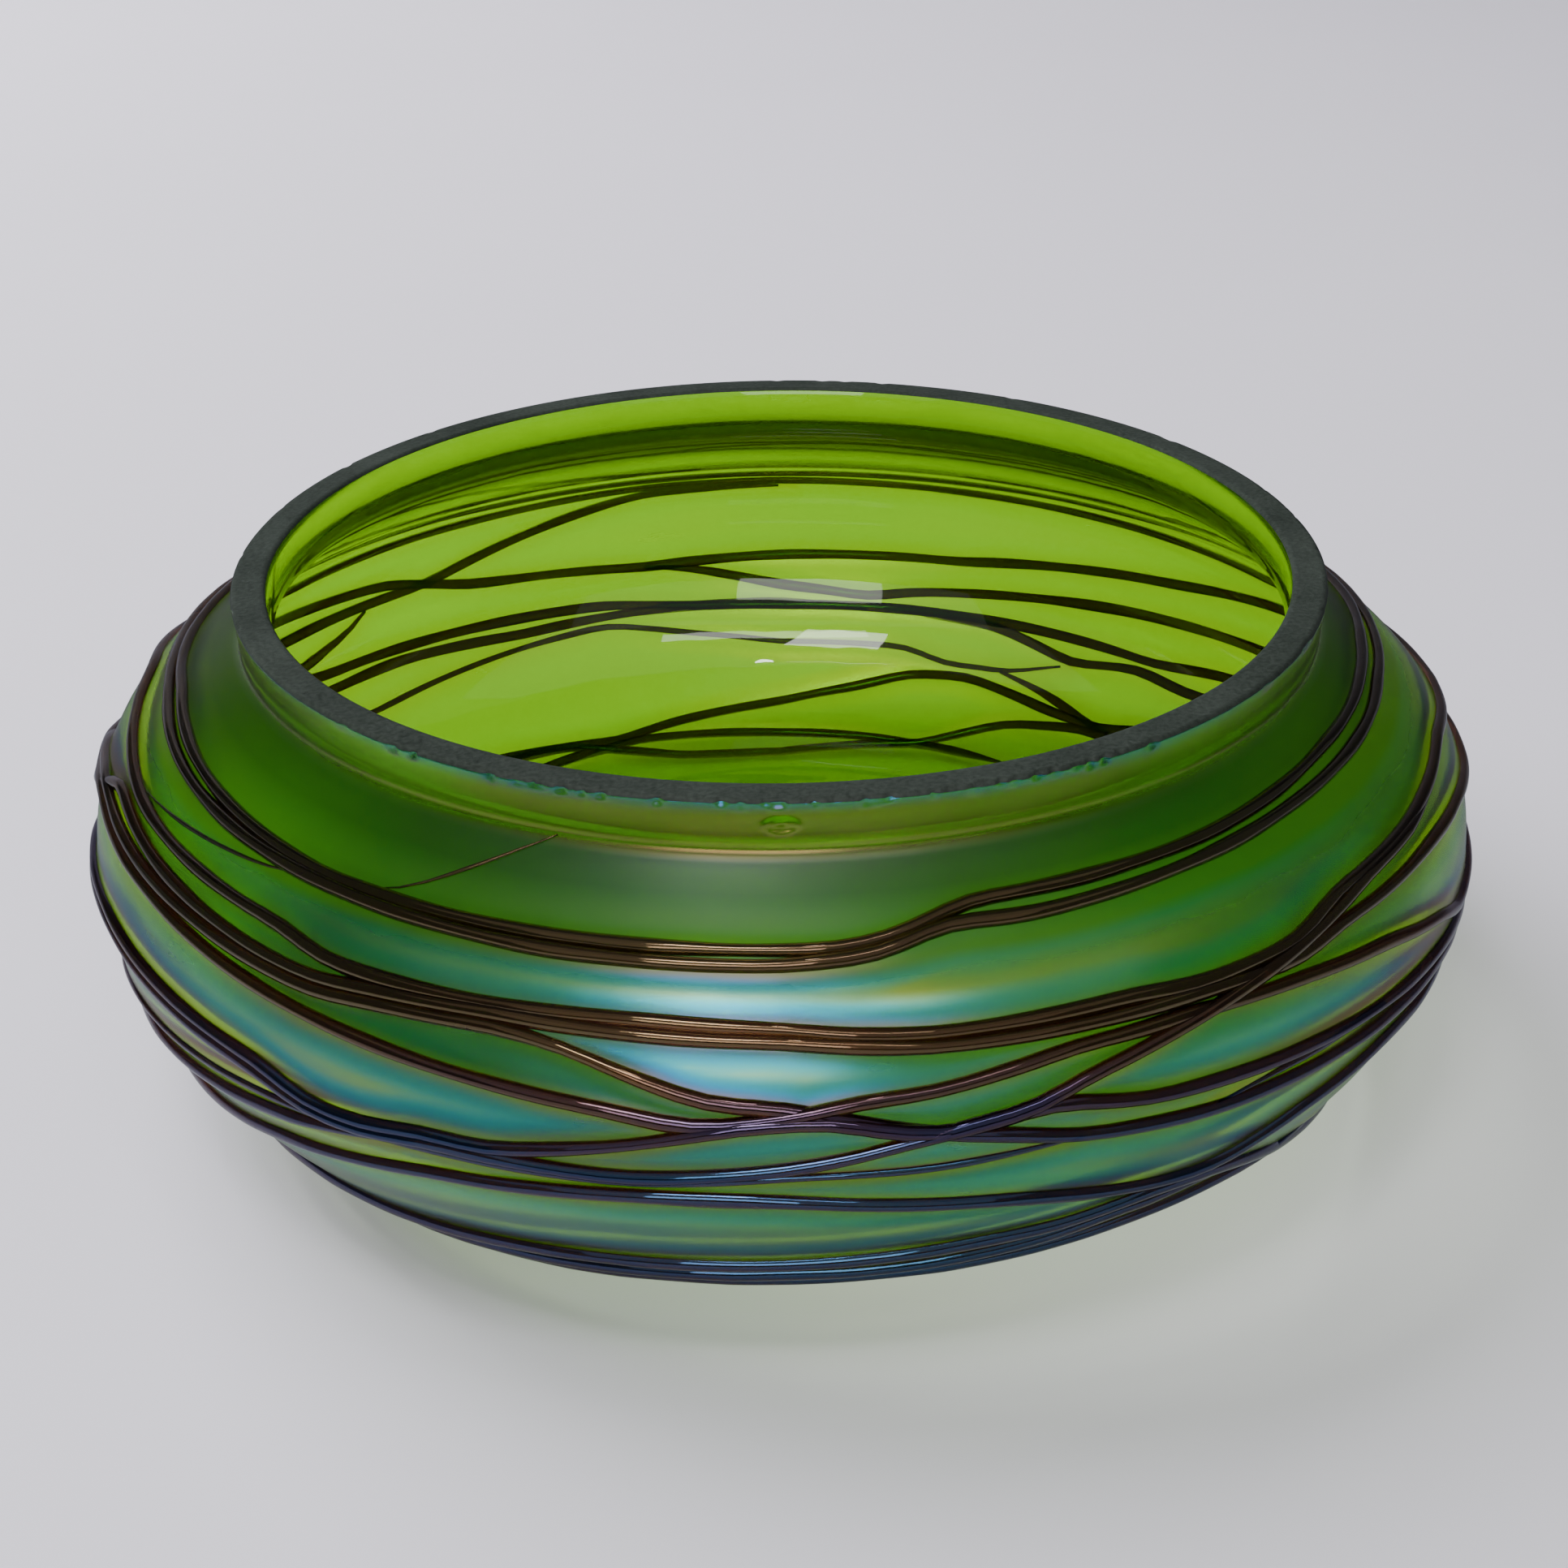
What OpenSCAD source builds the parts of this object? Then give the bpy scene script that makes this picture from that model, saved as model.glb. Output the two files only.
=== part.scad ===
// Squat blown glass bowl with a ground rim and trailed glass threads fused to its outside.
// Millimetres, +Z up. The origin is the centre of the foot, on the surface it stands on.
// Azimuth 0 is the front (-Y) and grows towards +X.

/* [Body] */
// Widest diameter of the glass, without the threads
belly_d = 200; // [190:1:210]
// Height from the foot to the ground rim
bowl_h = 72; // [70:0.5:76]
// Height of the widest place
equator_h = 36; // [34:0.5:38]
// Diameter of the flat foot
foot_d = 114; // [106:1:120]
// Height of the shoulder above the widest place
shoulder_rise = 21.2; // [20:0.2:22]
// Diameter at which the shoulder flattens out
shoulder_d = 168; // [164:1:172]
// Thickness of the wall at the belly
wall = 4; // [3:0.5:5]
// Thickness of the base inside the foot
base_t = 5; // [4:0.5:7]

/* [Rim] */
// Outer diameter of the ground rim
rim_d = 154.8; // [152:0.2:158]
// Height of the upright collar under the rim
collar_h = 6.5; // [5:0.5:7]
// How much narrower the collar is at its root than at the rim, on the radius
collar_flare = 0.5; // [0:0.1:1]
// Width of the ground face of the rim
rim_wall = 4.8; // [4:0.1:5.5]
// Bevel left by grinding on both edges of the rim
rim_bevel = 0.4; // [0.2:0.1:0.6]

/* [Threads] */
// Width of an ordinary thread
thread_w = 1.7; // [1.2:0.1:2.2]
// How far an ordinary thread stands out of the wall
thread_h = 1.3; // [0.9:0.1:1.4]
// How deep every thread is melted into the wall
thread_sunk = 0.5; // [0.3:0.1:0.8]
// Size of the thin threads, as a part of an ordinary one
thin_scale = 0.6; // [0.5:0.05:0.8]
// Size of the hair-fine threads, as a part of an ordinary one
hair_scale = 0.3; // [0.25:0.05:0.4]
// Degrees from one ring of a thread to the next
ring_step = 5; // [5:1:8]

/* [Hidden] */

glass_color = [0.42, 0.62, 0.14];
thread_color = [0.16, 0.10, 0.10];

belly_r = belly_d / 2;
foot_r = foot_d / 2;
shoulder_r = shoulder_d / 2;
rim_r = rim_d / 2;
neck_r = rim_r - collar_flare;
neck_z = bowl_h - collar_h;
// Degrees round the shoulder's arc at which the neck begins
shoulder_end = 66;
// Strength of the neck's curve at its start and at its end, outside and inside: the end is
// the smaller, which leaves a full shoulder and a tight corner at the collar's foot
neck_pull = [12, 4];
neck_pull_in = [12, 9];
// Sides of a thread's section
thread_sides = 8;
// Degrees each way over which a route's corners are rounded off
round_span = 2;
// Degrees over which a thread's free end thins out
taper = 8;
// Smallest size of a thread's free end, as a part of its full size
tip_scale = 0.35;

// ---- outline of the body: foot to rim, inset from the outside ----

// Lower belly: a quarter ellipse that starts level at the foot
function lower_belly(side, under) = [
    for (t = [0:6:90])
        [foot_r + (belly_r - foot_r - side) * sin(t), equator_h - (equator_h - under) * cos(t)]
];

// Point and direction on the upper belly's ellipse
function upper_point(inset, u) = [
    shoulder_r + (belly_r - shoulder_r - inset) * cos(u),
    equator_h + (shoulder_rise - inset) * sin(u)
];
function upper_direction(inset, u) =
    let (d = [-(belly_r - shoulder_r - inset) * sin(u), (shoulder_rise - inset) * cos(u)])
    d / norm(d);

// Neck: an S-curve from the shoulder's end p, going along d, to the upright collar at q
function neck(p, d, q, pull) = [
    for (s = [0.1:0.1:1])
        (2 * s^3 - 3 * s^2 + 1) * p + (s^3 - 2 * s^2 + s) * pull[0] * d
        + (3 * s^2 - 2 * s^3) * q + (s^3 - s^2) * pull[1] * [0, 1]
];

function outline(side, under, rim_inset, pull) = concat(
    lower_belly(side, under),
    [for (u = [6:6:shoulder_end]) upper_point(side, u)],
    neck(upper_point(side, shoulder_end), upper_direction(side, shoulder_end),
         [neck_r - rim_inset, neck_z], pull)
);

outside = outline(0, 0, 0, neck_pull);
inside = outline(wall, base_t, rim_wall, neck_pull_in);

rim_edge = [
    [rim_r, bowl_h - rim_bevel],
    [rim_r - rim_bevel, bowl_h],
    [rim_r - rim_wall + rim_bevel, bowl_h],
    [rim_r - rim_wall, bowl_h - rim_bevel]
];

// ---- places on the outside, by azimuth and girth ----
// Girth is the distance up the outside of the glass, from the edge of the foot.

track = concat(outside, [[rim_r, bowl_h]]);
girths = [
    for (i = 0, s = 0; i < len(track);
         s = s + (i + 1 < len(track) ? norm(track[i + 1] - track[i]) : 0), i = i + 1)
        s
];
radius_table = [for (i = [0:len(track) - 1]) [girths[i], track[i][0]]];
height_table = [for (i = [0:len(track) - 1]) [girths[i], track[i][1]]];

function outline_at(g) = [lookup(g, radius_table), lookup(g, height_table)];
function outline_normal(g) =
    let (d = outline_at(g + 1) - outline_at(g - 1), n = [d[1], -d[0]])
    n / norm(n);
function around(p, a) = [p[0] * sin(a), -p[0] * cos(a), p[1]];

// Girth of a route at azimuth a, with its corners rounded off
function route_girth(route, a) =
    (lookup(a - round_span, route) + 2 * lookup(a, route) + lookup(a + round_span, route)) / 4;
function route_place(route, a) = around(outline_at(route_girth(route, a)), a);

// One ring of a thread: an ellipse across the thread, sunk into the wall
function thread_ring(route, a, size) =
    let (
        along = route_place(route, a + 1) - route_place(route, a - 1),
        up = around(outline_normal(route_girth(route, a)), a),
        across = cross(along / norm(along), up),
        half_h = (thread_h + thread_sunk) * size / 2,
        centre = route_place(route, a) + up * (half_h - thread_sunk * size)
    )
    [
        for (k = [0:thread_sides - 1])
            let (w = 360 * k / thread_sides)
            centre + across * (thread_w / 2 * size * cos(w)) + up * (half_h * sin(w))
    ];

function end_scale(a, first, last) =
    min(1, tip_scale + (1 - tip_scale) * min(a - first, last - a) / taper);

// A thread that goes all the way round and meets itself
module ring_thread(route, size = 1) {
    n = round(360 / ring_step);
    m = thread_sides;
    points = [for (i = [0:n - 1]) each thread_ring(route, -180 + i * 360 / n, size)];
    polyhedron(points, thread_walls(n, n, m), convexity = 4);
}

// A thread with two free ends, which are melted down thin
module open_thread(route, size = 1) {
    first = route[0][0] + round_span;
    last = route[len(route) - 1][0] - round_span;
    n = max(4, round((last - first) / ring_step));
    m = thread_sides;
    points = [
        for (i = [0:n])
            let (a = first + (last - first) * i / n)
            each thread_ring(route, a, size * end_scale(a, first, last))
    ];
    start_cap = [for (k = [1:m - 2]) [0, k, k + 1]];
    end_cap = [for (k = [1:m - 2]) [n * m, n * m + k + 1, n * m + k]];
    polyhedron(points, concat(thread_walls(n, n + 1, m), start_cap, end_cap), convexity = 4);
}

// Triangles between n pairs of rings out of a count of rings, each with m points
function thread_walls(n, count, m) = [
    for (i = [0:n - 1], k = [0:m - 1])
        let (
            a = i * m + k,
            b = i * m + (k + 1) % m,
            c = ((i + 1) % count) * m + k,
            d = ((i + 1) % count) * m + (k + 1) % m
        )
        each [[a, c, b], [b, c, d]]
];

// ---- routes of the threads: [azimuth in degrees, girth in mm] ----
// Free lines laid by hand. A route that goes all round has the same girth at -180 and 180,
// and runs on past both by a little, so that its ends are rounded like the rest.

function closed(route) = concat(
    [[-190, route[0][1]]], route, [[190, route[0][1]]]
);

route_shoulder_upper = closed([
    [-180, 81.5], [-150, 81.5], [-120, 84.5], [-100, 88], [-88, 89.5], [-78, 91], [-63, 90],
    [-40, 88.5], [-10, 89], [4, 89], [8, 90], [12, 92], [15, 93.5], [38, 93.5], [58, 94.5],
    [76, 94], [86, 93], [98, 90], [120, 85], [150, 82], [180, 81.5]
]);
route_shoulder_lower = closed([
    [-180, 77], [-150, 77], [-125, 79], [-100, 85], [-90, 87.5], [-80, 88.5], [-50, 87.5],
    [-20, 87], [0, 87], [7, 88], [10, 89.5], [13, 91], [20, 90.5], [48, 91.5], [58, 91.5],
    [78, 91], [88, 89.5], [100, 87], [120, 81], [140, 77.5], [180, 77]
]);
route_belly_top = closed([
    [-180, 74.5], [-165, 74.5], [-150, 73.5], [-120, 73], [-110, 75], [-100, 79], [-90, 83],
    [-80, 82.5], [-65, 81], [-40, 80.5], [-35, 79], [-30, 79], [-20, 79.5], [-10, 80],
    [0, 79.5], [5, 78.5], [10, 78], [25, 78], [30, 77], [40, 77], [46, 79.5], [65, 80],
    [75, 80.5], [85, 77.5], [100, 75], [120, 73], [150, 73.5], [180, 74.5]
]);
route_belly_second = closed([
    [-180, 57], [-165, 56], [-150, 58], [-145, 59], [-135, 64], [-120, 66.5], [-105, 67],
    [-90, 68.5], [-80, 71], [-75, 75], [-70, 79], [-65, 78.5], [-55, 77.5], [-40, 76.5],
    [-35, 76.5], [-30, 77.5], [-20, 78.5], [0, 78], [10, 76.5], [30, 76], [40, 75], [45, 76],
    [60, 75.5], [70, 74], [80, 71], [100, 68.5], [120, 67], [135, 62.5], [160, 57.5], [180, 57]
]);
route_belly_drop = closed([
    [-180, 47], [-170, 47.5], [-160, 49.5], [-145, 50.5], [-125, 52], [-110, 57], [-95, 66],
    [-85, 73], [-75, 76], [-50, 75.5], [-35, 75], [-30, 76], [-20, 77], [-15, 76], [-10, 73.5],
    [-5, 71], [0, 70.5], [5, 68.5], [10, 66.5], [15, 65], [20, 63], [30, 61], [40, 60],
    [60, 58], [80, 54], [100, 51.5], [125, 49.5], [135, 46.5], [160, 47], [180, 47]
]);
route_diagonal = [
    [-182, 73], [-165, 72.5], [-160, 70.5], [-150, 66], [-140, 61.5], [-120, 61.5], [-105, 64],
    [-90, 70], [-75, 74.5], [-55, 74], [-40, 72.5], [-20, 70.5], [-12, 69.5], [-6, 68],
    [0, 69.5], [5, 71], [10, 71.5], [20, 74], [30, 74], [40, 72.5], [50, 70], [60, 65.5],
    [65, 62], [80, 60], [100, 58.5], [120, 57], [140, 54.5], [165, 50.5], [170, 49],
    [180, 51], [190, 55], [197, 56.5]
];
route_middle = [
    [-192, 46.5], [-180, 47.5], [-165, 47.5], [-150, 47], [-135, 49], [-125, 49], [-110, 52],
    [-95, 58], [-80, 62.5], [-65, 64.5], [-50, 63.5], [-40, 63], [-35, 60.5], [-30, 60.5],
    [-25, 62], [-20, 62], [-10, 65.5], [-3, 68.5], [3, 69], [8, 67], [12, 66.5], [18, 68],
    [25, 65.5], [40, 63.5], [50, 62], [60, 60.5], [75, 56], [90, 51], [110, 47], [130, 43.5],
    [137, 44.5], [145, 42], [155, 46], [172, 47.5]
];
route_riser = [
    [-134, 63], [-130, 58], [-123, 55], [-110, 56], [-90, 60], [-75, 62], [-65, 63],
    [-40, 61.5], [-35, 59.5], [-30, 59.5], [-25, 61], [-10, 61], [0, 63], [5, 64.5],
    [10, 66.5], [17, 68], [20, 70], [30, 73.5], [35, 75], [43, 77], [50, 79], [68, 79.5]
];
route_fine_feeder = [
    [-216, 42], [-208, 37.5], [-200, 37], [-195, 39.5], [-180, 39.5], [-170, 42], [-160, 45.5],
    [-150, 44.5], [-130, 42], [-110, 43], [-90, 46], [-75, 50], [-60, 54.5], [-40, 58],
    [-30, 59.5], [-10, 60.5], [0, 62], [10, 62], [22, 63]
];
route_low_sweep = [
    [-75, 38], [-60, 42.5], [-50, 46], [-40, 50.5], [-25, 56], [-10, 58.5], [0, 58.5],
    [15, 55.5], [27, 51], [32, 50], [40, 53], [50, 54.5], [60, 53.5], [75, 50], [90, 46],
    [110, 41], [130, 35], [138, 31], [145, 31.5], [157, 35], [164, 34], [170, 30.5],
    [180, 26.5], [195, 23], [203, 20.5], [218, 23.5], [235, 27], [255, 33], [275, 41],
    [290, 46.5], [303, 51], [320, 55.5], [333, 59.5]
];
route_keel_upper = closed([
    [-180, 13], [-172, 13], [-165, 14], [-157, 18], [-150, 22], [-120, 25], [-90, 28],
    [-60, 32], [-40, 37], [-25, 41], [-15, 43.5], [0, 45], [10, 46.5], [20, 47.5], [27, 49.5],
    [32, 49], [38, 45.5], [44, 41], [60, 34], [80, 30], [100, 28], [120, 28.5], [140, 30],
    [150, 26.5], [160, 18], [170, 15.5], [180, 13]
]);
route_keel_lower = [
    [-215, 17], [-200, 18], [-180, 18.5], [-160, 20], [-140, 18], [-110, 17.5], [-90, 20],
    [-60, 26], [-30, 35], [-10, 40], [10, 42], [20, 44.5], [25, 47], [31, 47], [37, 46]
];
route_keel_edge = [
    [-62, 21], [-40, 28], [-20, 35], [-10, 37.5], [0, 38.5], [15, 39], [25, 41], [35, 43],
    [47, 43.5]
];
route_back_branch = [[133, 30], [141, 32], [147, 35], [155, 38]];
route_bridge = [[29, 61], [34, 62], [40, 62.5], [51, 62]];
route_hair_shoulder = [[-68, 81.5], [-55, 84], [-45, 86], [-39, 88]];
route_hair_collar = [[-36, 88.5], [-32, 90], [-27, 95], [-23, 99], [-18, 103]];

// ---- the pieces ----

module bowl_shell() {
    color(glass_color)
        rotate_extrude($fn = 180)
            polygon(concat(
                [[0, 0]], outside, rim_edge,
                [for (i = [len(inside) - 1:-1:0]) inside[i]], [[0, base_t]]
            ));
}

module thread_shoulder_upper() { color(thread_color) ring_thread(route_shoulder_upper); }
module thread_shoulder_lower() { color(thread_color) ring_thread(route_shoulder_lower); }
module thread_belly_top() { color(thread_color) ring_thread(route_belly_top); }
module thread_belly_second() { color(thread_color) ring_thread(route_belly_second); }
module thread_belly_drop() { color(thread_color) ring_thread(route_belly_drop); }
module thread_diagonal() { color(thread_color) open_thread(route_diagonal); }
module thread_middle() { color(thread_color) open_thread(route_middle); }
module thread_riser() { color(thread_color) open_thread(route_riser); }
module thread_fine_feeder() { color(thread_color) open_thread(route_fine_feeder, thin_scale); }
module thread_low_sweep() { color(thread_color) open_thread(route_low_sweep); }
module thread_keel_upper() { color(thread_color) ring_thread(route_keel_upper); }
module thread_keel_lower() { color(thread_color) open_thread(route_keel_lower); }
module thread_keel_edge() { color(thread_color) open_thread(route_keel_edge); }
module thread_back_branch() { color(thread_color) open_thread(route_back_branch); }
module thread_bridge() { color(thread_color) open_thread(route_bridge, thin_scale); }
module hair_shoulder() { color(thread_color) open_thread(route_hair_shoulder, hair_scale); }
module hair_collar() { color(thread_color) open_thread(route_hair_collar, hair_scale); }

bowl_shell();
thread_shoulder_upper();
thread_shoulder_lower();
thread_belly_top();
thread_belly_second();
thread_belly_drop();
thread_diagonal();
thread_middle();
thread_riser();
thread_fine_feeder();
thread_low_sweep();
thread_keel_upper();
thread_keel_lower();
thread_keel_edge();
thread_back_branch();
thread_bridge();
hair_shoulder();
hair_collar();
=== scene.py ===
"""Threaded art glass bowl: a clear green body with a ground rim, and dark trailed threads.

Lengths in this file are millimetres until a mesh is made, which scales them to metres.
Azimuth 0 is the front (-Y) and grows towards +X. Girth is the distance up the outside of
the glass from the edge of the foot.
"""

import bpy
import numpy as np
from mathutils import Matrix, Vector


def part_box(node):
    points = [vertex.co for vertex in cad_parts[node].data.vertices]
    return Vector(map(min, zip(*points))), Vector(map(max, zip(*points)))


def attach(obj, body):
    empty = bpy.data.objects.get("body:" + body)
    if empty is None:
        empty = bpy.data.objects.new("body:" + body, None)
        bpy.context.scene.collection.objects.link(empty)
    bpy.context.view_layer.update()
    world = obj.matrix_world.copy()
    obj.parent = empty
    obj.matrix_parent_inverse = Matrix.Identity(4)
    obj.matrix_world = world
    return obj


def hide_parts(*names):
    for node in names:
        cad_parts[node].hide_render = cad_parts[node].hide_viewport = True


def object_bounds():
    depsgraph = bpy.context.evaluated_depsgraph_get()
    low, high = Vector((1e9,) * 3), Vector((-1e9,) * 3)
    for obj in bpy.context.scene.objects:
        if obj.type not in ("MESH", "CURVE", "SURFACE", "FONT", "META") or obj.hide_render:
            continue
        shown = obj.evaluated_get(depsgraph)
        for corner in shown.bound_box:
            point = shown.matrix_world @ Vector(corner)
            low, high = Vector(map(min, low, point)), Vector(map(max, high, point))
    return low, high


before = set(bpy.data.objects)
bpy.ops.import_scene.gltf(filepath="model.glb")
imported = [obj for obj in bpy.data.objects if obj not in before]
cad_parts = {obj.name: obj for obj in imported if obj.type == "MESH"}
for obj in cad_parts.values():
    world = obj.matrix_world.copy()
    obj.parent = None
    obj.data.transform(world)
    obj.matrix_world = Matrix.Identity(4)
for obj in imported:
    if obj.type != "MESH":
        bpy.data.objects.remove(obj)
CAD_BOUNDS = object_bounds()

# ---- sizes, from the frame and from the same few dimensions as the CAD ----

MM = 0.001
HIGH = np.array(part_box("bowl_shell")[1]) / MM
BELLY_R = HIGH[0]
BOWL_H = HIGH[2]
EQUATOR_H = 36.0
FOOT_R = 57.0
SHOULDER_R = 84.0
SHOULDER_RISE = 21.2
SHOULDER_END = np.radians(66)
WALL = 4.0
BASE_T = 5.0
RIM_R = 77.4
RIM_WALL = 4.8
RIM_BEVEL = 0.4
NECK_R = RIM_R - 0.5
NECK_Z = BOWL_H - 6.5
NECK_PULL = (12.0, 4.0)
NECK_PULL_IN = (12.0, 9.0)

THREAD_W = 1.7
THREAD_SUNK = 0.5
THIN = 0.6
HAIR = 0.3

RNG = np.random.default_rng(7)


# ---- outline of the body ----

def lower_belly(side, under, n):
    t = np.linspace(0, np.pi / 2, n)
    return np.stack([FOOT_R + (BELLY_R - FOOT_R - side) * np.sin(t),
                     EQUATOR_H - (EQUATOR_H - under) * np.cos(t)], 1)


def upper_belly(inset, n):
    u = np.linspace(0, SHOULDER_END, n)
    return np.stack([SHOULDER_R + (BELLY_R - SHOULDER_R - inset) * np.cos(u),
                     EQUATOR_H + (SHOULDER_RISE - inset) * np.sin(u)], 1)


def neck(start, heading, end, pull, n):
    s = np.linspace(0, 1, n)[:, None]
    up = np.array([0.0, 1.0])
    return ((2 * s**3 - 3 * s**2 + 1) * start + (s**3 - 2 * s**2 + s) * pull[0] * heading
            + (3 * s**2 - 2 * s**3) * end + (s**3 - s**2) * pull[1] * up)


def outline(side, under, rim_inset, pull, n=90):
    """Points from the edge of the foot to the top of the collar, just under its bevel."""
    low = lower_belly(side, under, n)
    high = upper_belly(side, n)
    heading = high[-1] - high[-2]
    bend = neck(high[-1], heading / np.hypot(*heading),
                np.array([NECK_R - rim_inset, NECK_Z]), pull, n)
    top = np.array([[RIM_R - rim_inset, BOWL_H - RIM_BEVEL]])
    return np.concatenate([low, high[1:], bend[1:], top])


def lengths(points):
    return np.concatenate([[0], np.cumsum(np.hypot(*np.diff(points, axis=0).T))])


def resample(points, where):
    along = lengths(points)
    return np.stack([np.interp(where, along, points[:, k]) for k in (0, 1)], 1)


OUTSIDE = outline(0, 0, 0, NECK_PULL)
INSIDE = outline(WALL, BASE_T, RIM_WALL, NECK_PULL_IN)
GIRTH = lengths(OUTSIDE)
RIM_GIRTH = GIRTH[-1]


def outline_at(g):
    return np.stack([np.interp(g, GIRTH, OUTSIDE[:, 0]), np.interp(g, GIRTH, OUTSIDE[:, 1])], -1)


def outline_normal(g):
    d = outline_at(g + 0.8) - outline_at(g - 0.8)
    n = np.stack([d[..., 1], -d[..., 0]], -1)
    return n / np.linalg.norm(n, axis=-1, keepdims=True)


def around(points, azimuth):
    """(radius, height) at azimuth in degrees, as a place in space."""
    a = np.radians(azimuth)
    return np.stack([points[..., 0] * np.sin(a), -points[..., 0] * np.cos(a),
                     points[..., 1] + 0 * a], -1)


# ---- routes of the threads: [azimuth in degrees, girth], the same as in the CAD ----
# Laid by hand, but not all of it: when the neck was rebuilt, a least-squares calculation
# outside this file moved the points of both shoulder routes from about azimuth -100 to 100
# and all of hair_collar, and its results stand here rounded to wholes and halves.

def closed(route):
    return [[-190, route[0][1]]] + route + [[190, route[0][1]]]


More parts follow.
